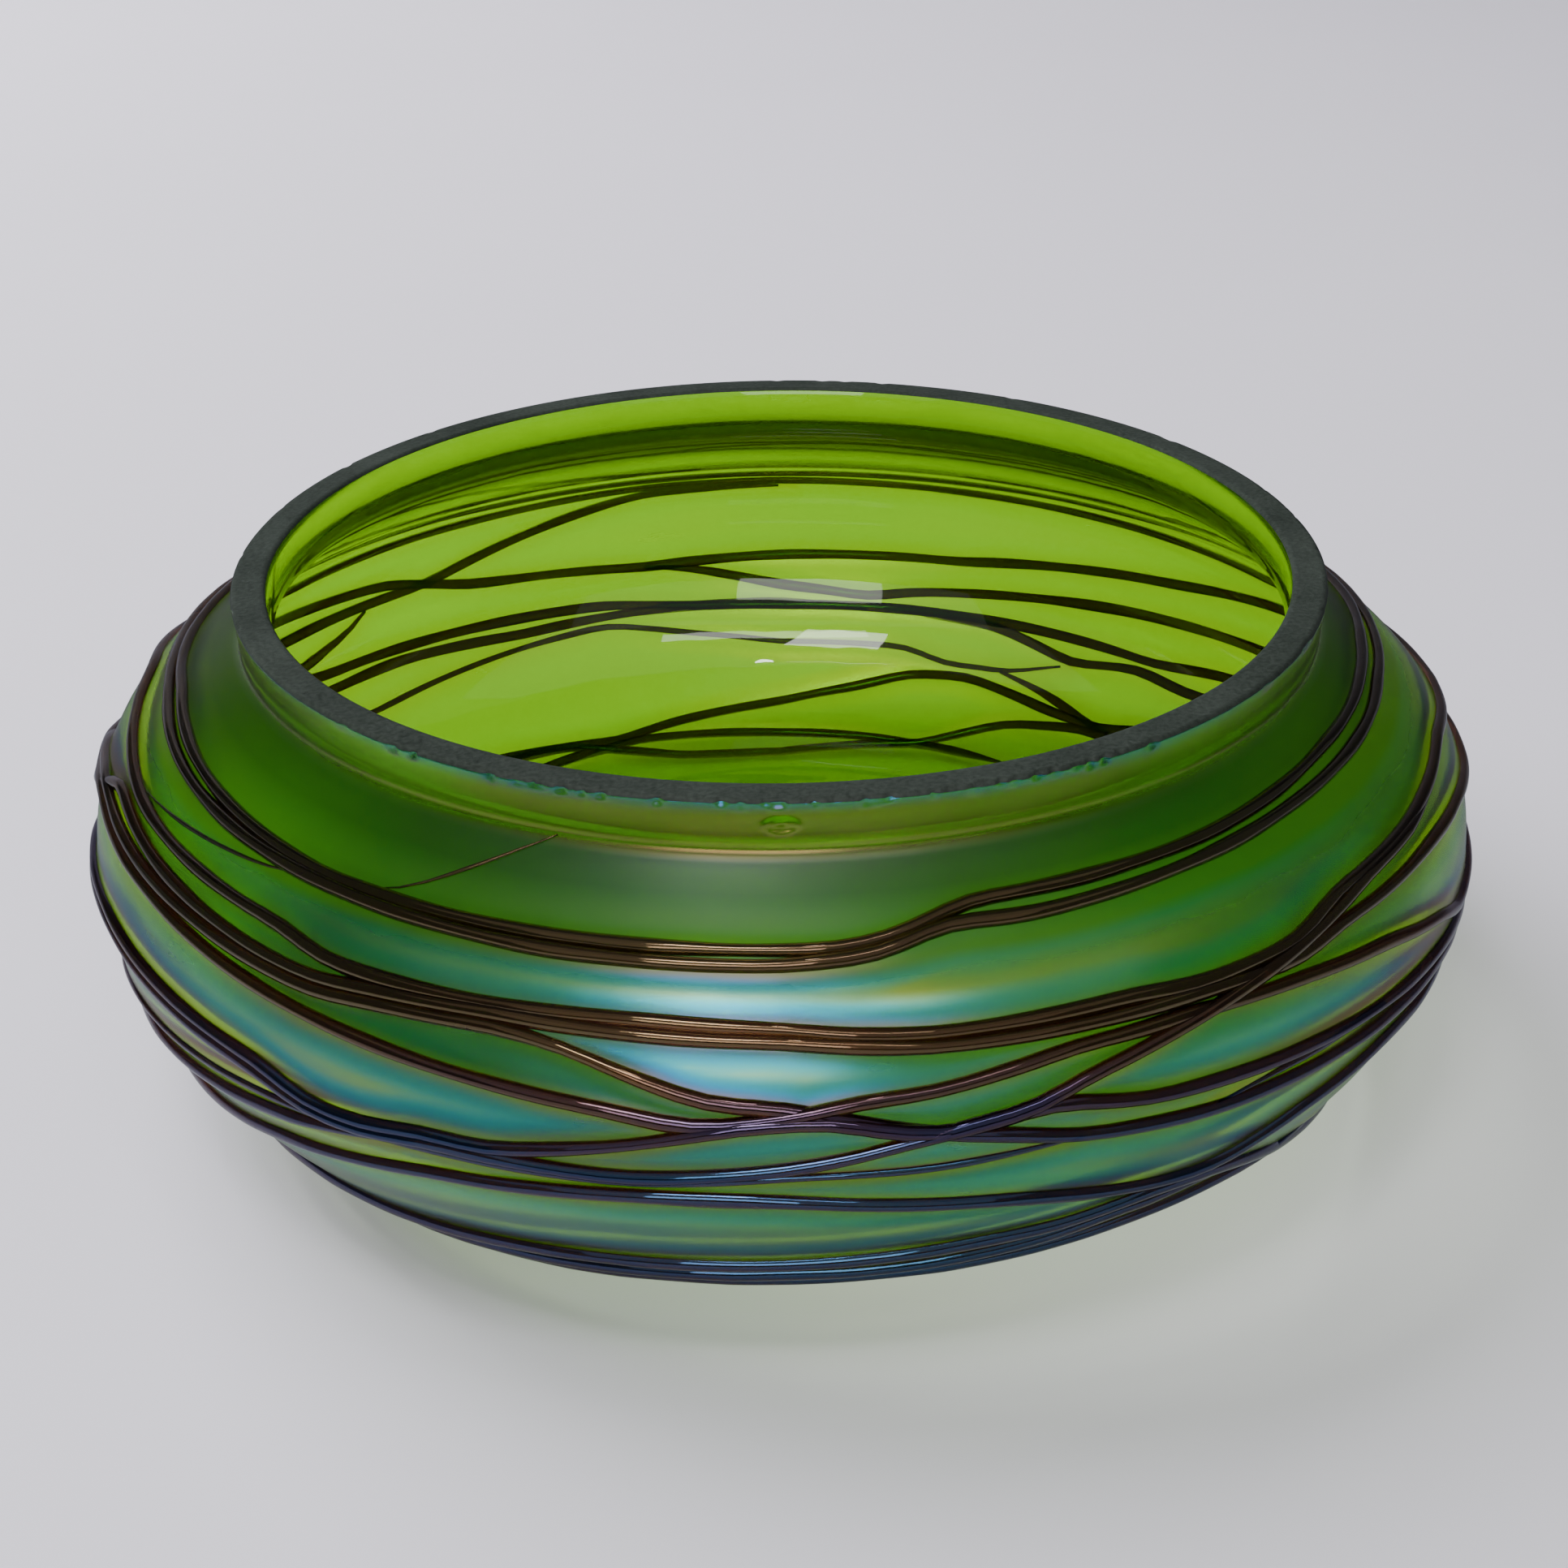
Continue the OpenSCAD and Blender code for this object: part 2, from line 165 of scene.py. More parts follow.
ROUTES = {
    "thread_shoulder_upper": closed([
        [-180, 81.5], [-150, 81.5], [-120, 84.5], [-100, 88], [-88, 89.5], [-78, 91], [-63, 90],
        [-40, 88.5], [-10, 89], [4, 89], [8, 90], [12, 92], [15, 93.5], [38, 93.5], [58, 94.5],
        [76, 94], [86, 93], [98, 90], [120, 85], [150, 82], [180, 81.5]
    ]),
    "thread_shoulder_lower": closed([
        [-180, 77], [-150, 77], [-125, 79], [-100, 85], [-90, 87.5], [-80, 88.5], [-50, 87.5],
        [-20, 87], [0, 87], [7, 88], [10, 89.5], [13, 91], [20, 90.5], [48, 91.5], [58, 91.5],
        [78, 91], [88, 89.5], [100, 87], [120, 81], [140, 77.5], [180, 77]
    ]),
    "thread_belly_top": closed([
        [-180, 74.5], [-165, 74.5], [-150, 73.5], [-120, 73], [-110, 75], [-100, 79],
        [-90, 83], [-80, 82.5], [-65, 81], [-40, 80.5], [-35, 79], [-30, 79], [-20, 79.5],
        [-10, 80], [0, 79.5], [5, 78.5], [10, 78], [25, 78], [30, 77], [40, 77], [46, 79.5],
        [65, 80], [75, 80.5], [85, 77.5], [100, 75], [120, 73], [150, 73.5], [180, 74.5]]),
    "thread_belly_second": closed([
        [-180, 57], [-165, 56], [-150, 58], [-145, 59], [-135, 64], [-120, 66.5], [-105, 67],
        [-90, 68.5], [-80, 71], [-75, 75], [-70, 79], [-65, 78.5], [-55, 77.5], [-40, 76.5],
        [-35, 76.5], [-30, 77.5], [-20, 78.5], [0, 78], [10, 76.5], [30, 76], [40, 75],
        [45, 76], [60, 75.5], [70, 74], [80, 71], [100, 68.5], [120, 67], [135, 62.5],
        [160, 57.5], [180, 57]]),
    "thread_belly_drop": closed([
        [-180, 47], [-170, 47.5], [-160, 49.5], [-145, 50.5], [-125, 52], [-110, 57],
        [-95, 66], [-85, 73], [-75, 76], [-50, 75.5], [-35, 75], [-30, 76], [-20, 77],
        [-15, 76], [-10, 73.5], [-5, 71], [0, 70.5], [5, 68.5], [10, 66.5], [15, 65],
        [20, 63], [30, 61], [40, 60], [60, 58], [80, 54], [100, 51.5], [125, 49.5],
        [135, 46.5], [160, 47], [180, 47]]),
    "thread_diagonal": [
        [-182, 73], [-165, 72.5], [-160, 70.5], [-150, 66], [-140, 61.5], [-120, 61.5],
        [-105, 64], [-90, 70], [-75, 74.5], [-55, 74], [-40, 72.5], [-20, 70.5], [-12, 69.5],
        [-6, 68], [0, 69.5], [5, 71], [10, 71.5], [20, 74], [30, 74], [40, 72.5], [50, 70],
        [60, 65.5], [65, 62], [80, 60], [100, 58.5], [120, 57], [140, 54.5], [165, 50.5],
        [170, 49], [180, 51], [190, 55], [197, 56.5]],
    "thread_middle": [
        [-192, 46.5], [-180, 47.5], [-165, 47.5], [-150, 47], [-135, 49], [-125, 49],
        [-110, 52], [-95, 58], [-80, 62.5], [-65, 64.5], [-50, 63.5], [-40, 63], [-35, 60.5],
        [-30, 60.5], [-25, 62], [-20, 62], [-10, 65.5], [-3, 68.5], [3, 69], [8, 67],
        [12, 66.5], [18, 68], [25, 65.5], [40, 63.5], [50, 62], [60, 60.5], [75, 56],
        [90, 51], [110, 47], [130, 43.5], [137, 44.5], [145, 42], [155, 46], [172, 47.5]],
    "thread_riser": [
        [-134, 63], [-130, 58], [-123, 55], [-110, 56], [-90, 60], [-75, 62], [-65, 63],
        [-40, 61.5], [-35, 59.5], [-30, 59.5], [-25, 61], [-10, 61], [0, 63], [5, 64.5],
        [10, 66.5], [17, 68], [20, 70], [30, 73.5], [35, 75], [43, 77], [50, 79], [68, 79.5]],
    "thread_fine_feeder": [
        [-216, 42], [-208, 37.5], [-200, 37], [-195, 39.5], [-180, 39.5], [-170, 42],
        [-160, 45.5], [-150, 44.5], [-130, 42], [-110, 43], [-90, 46], [-75, 50], [-60, 54.5],
        [-40, 58], [-30, 59.5], [-10, 60.5], [0, 62], [10, 62], [22, 63]],
    "thread_low_sweep": [
        [-75, 38], [-60, 42.5], [-50, 46], [-40, 50.5], [-25, 56], [-10, 58.5], [0, 58.5],
        [15, 55.5], [27, 51], [32, 50], [40, 53], [50, 54.5], [60, 53.5], [75, 50], [90, 46],
        [110, 41], [130, 35], [138, 31], [145, 31.5], [157, 35], [164, 34], [170, 30.5],
        [180, 26.5], [195, 23], [203, 20.5], [218, 23.5], [235, 27], [255, 33], [275, 41],
        [290, 46.5], [303, 51], [320, 55.5], [333, 59.5]],
    "thread_keel_upper": closed([
        [-180, 13], [-172, 13], [-165, 14], [-157, 18], [-150, 22], [-120, 25], [-90, 28],
        [-60, 32], [-40, 37], [-25, 41], [-15, 43.5], [0, 45], [10, 46.5], [20, 47.5],
        [27, 49.5], [32, 49], [38, 45.5], [44, 41], [60, 34], [80, 30], [100, 28],
        [120, 28.5], [140, 30], [150, 26.5], [160, 18], [170, 15.5], [180, 13]]),
    "thread_keel_lower": [
        [-215, 17], [-200, 18], [-180, 18.5], [-160, 20], [-140, 18], [-110, 17.5],
        [-90, 20], [-60, 26], [-30, 35], [-10, 40], [10, 42], [20, 44.5], [25, 47], [31, 47],
        [37, 46]],
    "thread_keel_edge": [
        [-62, 21], [-40, 28], [-20, 35], [-10, 37.5], [0, 38.5], [15, 39], [25, 41],
        [35, 43], [47, 43.5]],
    "thread_back_branch": [[133, 30], [141, 32], [147, 35], [155, 38]],
    "thread_bridge": [[29, 61], [34, 62], [40, 62.5], [51, 62]],
    "hair_shoulder": [[-68, 81.5], [-55, 84], [-45, 86], [-39, 88]],
    "hair_collar": [[-36, 88.5], [-32, 90], [-27, 95], [-23, 99], [-18, 103]],
}
SCALES = {"thread_fine_feeder": THIN, "thread_bridge": THIN,
          "hair_shoulder": HAIR, "hair_collar": HAIR}


# Degrees each way over which a route's corners are rounded off
ROUND_SPAN = 2


def is_ring(route):
    return route[0][0] == -190


def route_girth(route, azimuth):
    """Girth along a route, with its corners rounded off as in the CAD."""
    a, g = np.array(route, float).T
    return sum(w * np.interp(azimuth + s, a, g)
               for s, w in ((-ROUND_SPAN, 1), (0, 2), (ROUND_SPAN, 1))) / 4


# ---- meshes ----

def make_mesh(name, points, faces, smooth=True):
    mesh = bpy.data.meshes.new(name)
    mesh.from_pydata((np.asarray(points) * MM).tolist(), [], faces)
    mesh.validate()
    mesh.polygons.foreach_set("use_smooth", [smooth] * len(mesh.polygons))
    piece = bpy.data.objects.new(name, mesh)
    bpy.context.collection.objects.link(piece)
    return piece


def grid_faces(rows, columns, wrap_columns=True, wrap_rows=False):
    """Quads over rows x columns of points, facing out for rows going up and azimuth growing."""
    r = np.arange(rows if wrap_rows else rows - 1)
    c = np.arange(columns if wrap_columns else columns - 1)
    r, c = np.meshgrid(r, c, indexing="ij")
    r2, c2 = (r + 1) % rows, (c + 1) % columns
    quads = np.stack([r * columns + c, r * columns + c2, r2 * columns + c2, r2 * columns + c], -1)
    return quads.reshape(-1, 4)


def set_attribute(piece, name, values):
    layer = piece.data.attributes.new(name, "FLOAT", "POINT")
    layer.data.foreach_set("value", np.asarray(values, np.float32).ravel())


# A gap wider than any, for places with no thread near
FAR_OFF = 99.0


def thread_distance(azimuth, g):
    """Distance in mm from each place on the outside to the middle of the nearest thread."""
    best = np.full(np.broadcast(azimuth, g).shape, FAR_OFF)
    for name, route in ROUTES.items():
        if name.startswith("hair"):
            continue
        first, last = route[0][0], route[-1][0]
        for turn in (-360, 0, 360):
            a = azimuth + turn
            if is_ring(route):
                inside = (a >= -180) & (a < 180)
            else:
                inside = (a >= first) & (a <= last)
            if not inside.any():
                continue
            here = route_girth(route, a)
            slope = (route_girth(route, a + 0.5) - route_girth(route, a - 0.5))
            per_degree = np.radians(1) * outline_at(here)[..., 0]
            gap = np.abs(g - here) * per_degree / np.hypot(per_degree, slope)
            best = np.where(inside & (gap < best), gap, best)
    return best


def slow_noise(azimuth, g, waves, seed):
    """A smooth sum of sines, whole numbers of waves round the bowl, from -1 to 1 or so."""
    rng = np.random.default_rng(seed)
    a = np.radians(azimuth)
    total = 0
    for n_a, n_g in waves:
        total = total + np.sin(n_a * a + n_g * g / 100 * 2 * np.pi + rng.uniform(0, 6.28))
    return total / np.sqrt(len(waves))


# ---- the body ----

# Degrees each side of the front with close columns, and how many columns there and elsewhere
FINE_ARC = 40
FINE_COLUMNS = 250
COARSE_COLUMNS = 290
INNER_ROWS = 80
FLAKE_AZIMUTH = 0.0
FLAKE_BELOW_RIM = 3.0
FLAKE_HALF_W = 2.3
FLAKE_HALF_H = 1.2
FLAKE_DEPTH = 0.45
# How far the outside lies under the CAD's outline on average, and is drawn up by a thread
UNEVEN = 0.10
DRAWN_UP = 0.28
DRAWN_REACH = 1.3
# Girth at the middle of the painted shade on the neck, and how far it reaches up and down
SHADE_MIDDLE = 96.5
SHADE_REACH = 5.0


def body_azimuths():
    """Columns of the body: close together at the front, where most of the rim's nicks are."""
    fine = np.linspace(-FINE_ARC, FINE_ARC, FINE_COLUMNS, endpoint=False)
    coarse = np.linspace(FINE_ARC, 360 - FINE_ARC, COARSE_COLUMNS, endpoint=False)
    return np.concatenate([fine, coarse])


def rim_nicks(azimuth, g):
    """How far small chips bite into the outer edge of the rim."""
    depth = np.zeros(np.broadcast(azimuth, g).shape)
    spots = np.concatenate([RNG.uniform(-38, 36, 46), RNG.uniform(36, 322, 26)])
    for spot in spots:
        half = RNG.uniform(0.25, 0.7)
        reach = RNG.uniform(0.4, 1.1)
        bite = RNG.uniform(0.2, 0.55)
        da = (azimuth - spot + 180) % 360 - 180
        across = np.clip(1 - (da / half) ** 2, 0, 1)
        down = np.clip(1 - ((RIM_GIRTH - g) / reach) ** 2, 0, 1)
        depth = np.maximum(depth, bite * across * down)
    return depth


def flake(azimuth, g):
    """Shell-shaped flake broken out of the collar at the front, with ripples."""
    x = ((azimuth - FLAKE_AZIMUTH + 180) % 360 - 180) * np.radians(1) * RIM_R / FLAKE_HALF_W
    y = (g - (RIM_GIRTH - FLAKE_BELOW_RIM)) / FLAKE_HALF_H
    rho = np.hypot(x, y)
    return np.where(rho < 1, FLAKE_DEPTH * (1 - rho**2) * (1 + 0.35 * np.sin(11 * rho)), 0)


def outer_surface(azimuth, g):
    """The outside as blown: a little uneven, drawn up beside the threads, chipped at the rim."""
    swell = slow_noise(azimuth, g, [(2, 1), (3, -2), (5, 3), (7, 5), (11, 4)], 3)
    fade = np.clip(g / 12, 0, 1) * np.clip((RIM_GIRTH - g) / 6, 0, 1)
    offset = -UNEVEN * fade * (1 + 0.6 * swell).clip(0, 2)
    gap = thread_distance(azimuth, g)
    offset = offset + DRAWN_UP * fade * np.exp(-(gap / DRAWN_REACH) ** 2)
    offset = offset - rim_nicks(azimuth, g) - flake(azimuth, g)
    place = outline_at(g) + outline_normal(g) * offset[..., None]
    return around(place, azimuth), gap


def ring_of(r, z, azimuth):
    return around(np.broadcast_to([r, z], azimuth.shape + (2,)), azimuth)


def build_body():
    azimuth = body_azimuths()
    g = np.concatenate([np.arange(0, 60, 0.9), np.arange(60, 104, 0.6),
                        np.arange(104, RIM_GIRTH, 0.3), [RIM_GIRTH]])
    a_grid, g_grid = np.meshgrid(azimuth, g)
    outer, gap = outer_surface(a_grid, g_grid)

    under = [ring_of(r, 0, azimuth) for r in (0.5, 15, 30, 45, 54)]
    rim = []
    for share in np.linspace(0, 1, 9):
        r = RIM_R - RIM_BEVEL - share * (RIM_WALL - 2 * RIM_BEVEL)
        rim.append(ring_of(r, BOWL_H, azimuth))
    # Nicks in the ground face's own edge: drawn anew, so they miss those in the collar
    edge = rim_nicks(azimuth, np.full_like(azimuth, RIM_GIRTH))
    rim[0] = around(np.stack([RIM_R - RIM_BEVEL - edge, BOWL_H - 0.25 * edge], -1), azimuth)

    inside_g = np.linspace(0, lengths(INSIDE)[-1], INNER_ROWS)
    inside_line = resample(INSIDE, inside_g)
    a_in, row = np.meshgrid(azimuth, np.arange(INNER_ROWS))
    ripple = slow_noise(a_in, inside_g[row], [(2, 2), (3, 1), (4, -3), (9, 2)], 5)
    fade = np.clip(np.minimum(row, INNER_ROWS - 1 - row) / 6, 0, 1)
    line = inside_line[row]
    line[..., 0] += 0.08 * fade * ripple
    inner = around(line, a_in)[::-1]
    floor = [ring_of(r, BASE_T, azimuth) for r in (54, 45, 30, 15, 0.5)]

    rows = np.concatenate([np.array(under), outer, np.array(rim), inner, np.array(floor)])
    n_rows, n_cols = rows.shape[:2]
    points = rows.reshape(-1, 3)
    faces = grid_faces(n_rows, n_cols).tolist()
    faces.append(list(range(n_cols))[::-1])
    faces.append([(n_rows - 1) * n_cols + c for c in range(n_cols)])
    body = make_mesh("bowl_body", points, faces)

    first_outer = len(under)
    gaps = np.full(rows.shape[:2], FAR_OFF)
    gaps[first_outer:first_outer + len(g)] = gap
    set_attribute(body, "thread_gap", gaps)
    height = np.zeros(rows.shape[:2])
    height[first_outer:first_outer + len(g)] = g_grid
    first_inner = first_outer + len(g) + len(rim)
    shares = inside_g[::-1] / inside_g[-1]
    height[first_inner:first_inner + len(shares)] = (shares * RIM_GIRTH)[:, None]
    set_attribute(body, "girth", height)
    outside = np.zeros(rows.shape[:2])
    outside[:first_outer + len(g)] = 1
    set_attribute(body, "outside", outside)
    # Painted shade under the collar: the neck is darkened, fading in from the sides to the back
    turn = np.abs((np.broadcast_to(azimuth, height.shape) + 180) % 360 - 180)
    back = 0.9 * np.clip((turn - 60) / 60, 0, 1)
    shade = back * np.exp(-((height - SHADE_MIDDLE) / SHADE_REACH) ** 4)
    set_attribute(body, "painted_neck_shade", shade)

    first_rim = first_outer + len(g) - 1
    last_rim = first_rim + len(rim)
    row_of_face = np.arange(len(faces)) // n_cols
    slot = np.where((row_of_face >= first_rim) & (row_of_face <= last_rim), 1, 0)
    slot[-2:] = 0
    body.data.polygons.foreach_set("material_index", slot.astype(np.int32))
    flat = [body.data.polygons[len(faces) - 2], body.data.polygons[len(faces) - 1]]
    for face in flat:
        face.use_smooth = False
    return body


# ---- the threads ----

THREAD_STEP = 1.0
TAPER = 8.0
TIP = 0.35
# Half the bead's width, in halves of the thread's width, and its height in mm
BEAD_SPREAD = 1.12
BEAD_TOP = 1.1
# Lift where threads cross: how high and how near in mm, and over how many steps it blends
CROSSING_LIFT = 0.45
CROSSING_REACH = 1.1
LIFT_BLUR = 4


def thread_section():
    """Section of a thread: a round bead that meets the wall, and its sunk underside."""
    turn = np.linspace(np.pi, 0, 15)
    x = BEAD_SPREAD * np.cos(turn)
    dome = BEAD_TOP * np.sin(turn)
    under = np.linspace(1, -1, 5)[1:-1] * BEAD_SPREAD * 0.7
    floor = np.full(under.shape, -THREAD_SUNK)
    return (np.concatenate([x[::-1], under[::-1]]),
            np.concatenate([dome[::-1], floor]))


def crossing_lift(name, azimuth, girth):
    """How far a thread rides up on earlier threads where it crosses or touches them."""
    lift = np.zeros_like(azimuth)
    for other, route in ROUTES.items():
        if other == name:
            break
        if other.startswith("hair"):
            continue
        for turn in (-360, 0, 360):
            a = azimuth + turn
            span = (a >= -180) & (a < 180) if is_ring(route) else (
                (a >= route[0][0] + ROUND_SPAN) & (a <= route[-1][0] - ROUND_SPAN))
            gap = np.abs(girth - route_girth(route, a))
            bump = CROSSING_LIFT * np.exp(-(gap / CROSSING_REACH) ** 2)
            lift = np.maximum(lift, np.where(span, bump, 0))
    kernel = np.hanning(2 * LIFT_BLUR + 1)
    padded = np.pad(lift, LIFT_BLUR, mode="wrap" if is_ring(ROUTES[name]) else "edge")
    return np.convolve(padded, kernel / kernel.sum(), "valid")


def build_thread(name, order):
    route = ROUTES[name]
    ring = is_ring(route)
    first, last = (-180.0, 180.0) if ring else (
        route[0][0] + ROUND_SPAN, route[-1][0] - ROUND_SPAN)
    n = int(round((last - first) / THREAD_STEP))
    azimuth = first + (last - first) * np.arange(n if ring else n + 1) / n
    size = np.full(azimuth.shape, SCALES.get(name, 1.0))
    if not ring:
        free = np.minimum(azimuth - first, last - azimuth) / TAPER
        size = size * np.minimum(1, TIP + (1 - TIP) * free)
    girth = route_girth(route, azimuth)
    lift = crossing_lift(name, azimuth, girth) * size
    wobble = slow_noise(azimuth, 0 * azimuth, [(7, 0), (12, 0), (19, 0), (31, 0)], 40 + order)
    wide = size * THREAD_W / 2 * (1 + 0.08 * wobble)
    tall = size * (1 - 0.05 * np.abs(wobble))

    middle = outline_at(girth)
    step = around(outline_at(route_girth(route, azimuth + 0.5)), azimuth + 0.5)
    step = step - around(outline_at(route_girth(route, azimuth - 0.5)), azimuth - 0.5)
    step /= np.linalg.norm(step, axis=1, keepdims=True)
    up = around(outline_normal(girth), azimuth)
    across = np.cross(step, up)
    centre = around(middle, azimuth) + up * lift[:, None]

    x, y = thread_section()
    points = (centre[:, None] + across[:, None] * (wide[:, None] * x)[..., None]
              + up[:, None] * (tall[:, None] * y)[..., None])
    points = np.clip(points, np.array(CAD_BOUNDS[0]) / MM, np.array(CAD_BOUNDS[1]) / MM)
    count = len(x)
    faces = grid_faces(len(azimuth), count, True, ring)[:, ::-1].tolist()
    if not ring:
        faces.append(list(range(count)))
        faces.append([(len(azimuth) - 1) * count + k for k in range(count)][::-1])
    thread = make_mesh(name + "_glass", points.reshape(-1, 3), faces)
    set_attribute(thread, "girth", np.repeat(girth, count))
    return thread


# ---- materials ----

class Nodes:
    """A small helper that makes nodes and links them by socket name."""

    def __init__(self, name):
        self.material = bpy.data.materials.new(name)
        self.material.use_nodes = True
        self.tree = self.material.node_tree
        self.tree.nodes.clear()
        self.output = self.tree.nodes.new("ShaderNodeOutputMaterial")

    def add(self, kind, settings=None, **inputs):
        node = self.tree.nodes.new("ShaderNode" + kind)
        for key, value in (settings or {}).items():
            setattr(node, key, value)
        for key, value in inputs.items():
            self.put(node, key.replace("_", " ").title(), value)
        return node

    def put(self, node, socket, value):
        target = node.inputs[socket]
        if isinstance(value, bpy.types.NodeSocket):
            self.tree.links.new(value, target)
        else:
            target.default_value = value

    def math(self, operation, a, b=0.0, clamp=False):
        node = self.tree.nodes.new("ShaderNodeMath")
        node.operation = operation
        node.use_clamp = clamp
        self.put(node, 0, a)
        self.put(node, 1, b)
        return node.outputs[0]

    def scaled(self, value, factor, plus):
        result = self.math("MULTIPLY_ADD", value, factor)
        result.node.inputs[2].default_value = plus
        return result

    def attribute(self, name):
        node = self.tree.nodes.new("ShaderNodeAttribute")
        node.attribute_name = name
        return node.outputs["Fac"]

    def ramp(self, value, stops):
        node = self.tree.nodes.new("ShaderNodeValToRGB")
        elements = node.color_ramp.elements
        while len(elements) < len(stops):
            elements.new(0.5)
        for element, (place, colour) in zip(elements, stops):
            element.position = place
            element.color = (*colour, 1.0)
        self.put(node, "Fac", value)
        return node.outputs["Color"]

    def mix_colour(self, blend, a, b, share=1.0):
        node = self.tree.nodes.new("ShaderNodeMix")
        node.data_type = "RGBA"
        node.blend_type = blend
        self.put(node, 0, share)
        self.put(node, 6, a)
        self.put(node, 7, b)
        return node.outputs[2]

    def noise(self, scale, detail=3.0, stretch=(1, 1, 1), roughness=0.5):
        place = self.tree.nodes.new("ShaderNodeTexCoord").outputs["Object"]
        mapping = self.tree.nodes.new("ShaderNodeMapping")
        self.put(mapping, "Vector", place)
        mapping.inputs["Scale"].default_value = stretch
        noise = self.tree.nodes.new("ShaderNodeTexNoise")
        self.put(noise, "Vector", mapping.outputs[0])
        noise.inputs["Scale"].default_value = scale
        noise.inputs["Detail"].default_value = detail
        noise.inputs["Roughness"].default_value = roughness
        return noise.outputs["Fac"]

    def bump(self, height, distance, strength=1.0):
        node = self.tree.nodes.new("ShaderNodeBump")
        node.inputs["Strength"].default_value = strength
        node.inputs["Distance"].default_value = distance
        self.put(node, "Height", height)
        return node.outputs["Normal"]


def let_lamps_through(nodes, surface, tint):
    """Lamps shine through the glass, a little tinted, so the table and the inside are lit."""
    clear = nodes.tree.nodes.new("ShaderNodeBsdfTransparent")
    clear.inputs["Color"].default_value = (*tint, 1)
    path = nodes.tree.nodes.new("ShaderNodeLightPath")
    mix = nodes.tree.nodes.new("ShaderNodeMixShader")
    nodes.put(mix, 0, path.outputs["Is Shadow Ray"])
    nodes.put(mix, 1, surface)
    nodes.put(mix, 2, clear.outputs[0])
    nodes.tree.links.new(mix.outputs[0], nodes.output.inputs["Surface"])


def absorb(nodes, colour, density):
    volume = nodes.tree.nodes.new("ShaderNodeVolumeAbsorption")
    volume.inputs["Color"].default_value = (*colour, 1)
    volume.inputs["Density"].default_value = density
    nodes.tree.links.new(volume.outputs[0], nodes.output.inputs["Volume"])


def principled(nodes, **values):
    node = nodes.tree.nodes.new("ShaderNodeBsdfPrincipled")
    for key, value in values.items():
        nodes.put(node, key.replace("_", " "), value)
    return node


# Girth that the ramps over height call 1, and the gap to a thread at which a cell is open
RAMP_GIRTH = 120.0
CELL_GAP = 5.0
# Thickness in nm of the film where it looks golden, green and blue
FILM_GOLD = 106.0
FILM_GREEN = 190.0
THREAD_FILM_GOLD = 120.0
THREAD_FILM_BLUE = 176.0


def green_glass():
    """The body's glass. Outside it is satin and carries an iridescent film, which is golden
    beside the threads and low on the collar, and blue-green in the open cells between."""
    nodes = Nodes("lustred_green_glass")
    outside = nodes.attribute("outside")
    height = nodes.math("DIVIDE", nodes.attribute("girth"), RAMP_GIRTH, clamp=True)
    cell = nodes.math("DIVIDE", nodes.attribute("thread_gap"), CELL_GAP, clamp=True)
    cell = nodes.math("POWER", cell, 0.7)
    cloud = nodes.noise(14, 4, (1, 1, 2.6), 0.55)
    streak = nodes.noise(60, 3, (1, 1, 5), 0.6)
    uneven = nodes.math("SUBTRACT", cloud, 0.5)

    # How open the place is: cells between threads are, the neck and the low collar aren't
    belly = nodes.ramp(height, [
        (0.0, (1, 1, 1)), (0.73, (1, 1, 1)), (0.79, (0.12, 0.12, 0.12)),
        (0.88, (0.14, 0.14, 0.14)), (0.91, (0.8, 0.8, 0.8))])
    openness = nodes.math("MULTIPLY", cell, belly)
    film = nodes.scaled(openness, FILM_GREEN - FILM_GOLD, FILM_GOLD)
    film = nodes.math("ADD", film, nodes.math("MULTIPLY", uneven, 80))
    film = nodes.math("ADD", film, nodes.math(
        "MULTIPLY", nodes.math("SUBTRACT", streak, 0.5), 14))
    film = nodes.math("MULTIPLY", film, outside)
    strength = nodes.scaled(nodes.math("MULTIPLY", openness, cell), 0.25, 1.92)

    # The film is weak and the surface duller on the slope of the neck
    calm = nodes.ramp(height, [
        (0.70, (0, 0, 0)), (0.735, (1, 1, 1)), (0.833, (1, 1, 1)), (0.846, (0, 0, 0))])
    strength = nodes.math("SUBTRACT", strength, nodes.math("MULTIPLY", calm, 0.50))

    # The neck is darker in the photo, so it has a darker tint
    place = nodes.math("ADD", cell, nodes.math("MULTIPLY", uneven, 0.5))
    tint = nodes.ramp(place, [
        (0.0, (0.25, 0.34, 0.002)), (0.35, (0.26, 0.52, 0.002)), (1.0, (0.22, 0.56, 0.003))])
    # Painted shade by height: a dark band over the slope of the neck; the ramp is also a little
    # darker towards the foot and less blue from the neck up
    height_tint_and_shade = nodes.ramp(height, [
        (0.0, (0.80, 0.85, 0.9)), (0.30, (1, 1, 1)), (0.76, (1, 1, 1)),
        (0.80, (0.36, 0.38, 0.5)), (0.84, (0.48, 0.50, 0.5)), (0.88, (1.0, 1.0, 0.6))])
    tint = nodes.mix_colour("MULTIPLY", tint, height_tint_and_shade)
    # Painted shade: the tint goes towards near-black at the back of the neck
    tint = nodes.mix_colour("MIX", tint, (0.012, 0.010, 0.002, 1), nodes.attribute("painted_neck_shade"))
    rough = nodes.scaled(streak, 0.12, 0.19)
    rough = nodes.math("ADD", rough, nodes.math("MULTIPLY", calm, 0.12))
    rough = nodes.math("MULTIPLY", rough, outside)
    rough = nodes.math("MAXIMUM", rough, 0.02)
    surface = principled(
        nodes, Base_Color=tint, Roughness=rough, IOR=1.5, Transmission_Weight=1.0,
        Thin_Film_Thickness=film, Thin_Film_IOR=strength,
        Normal=nodes.bump(nodes.noise(28, 3, (1, 1, 1.5)), 0.0006, 0.4))
    let_lamps_through(nodes, surface.outputs[0], (0.76, 0.80, 0.70))
    return nodes.material


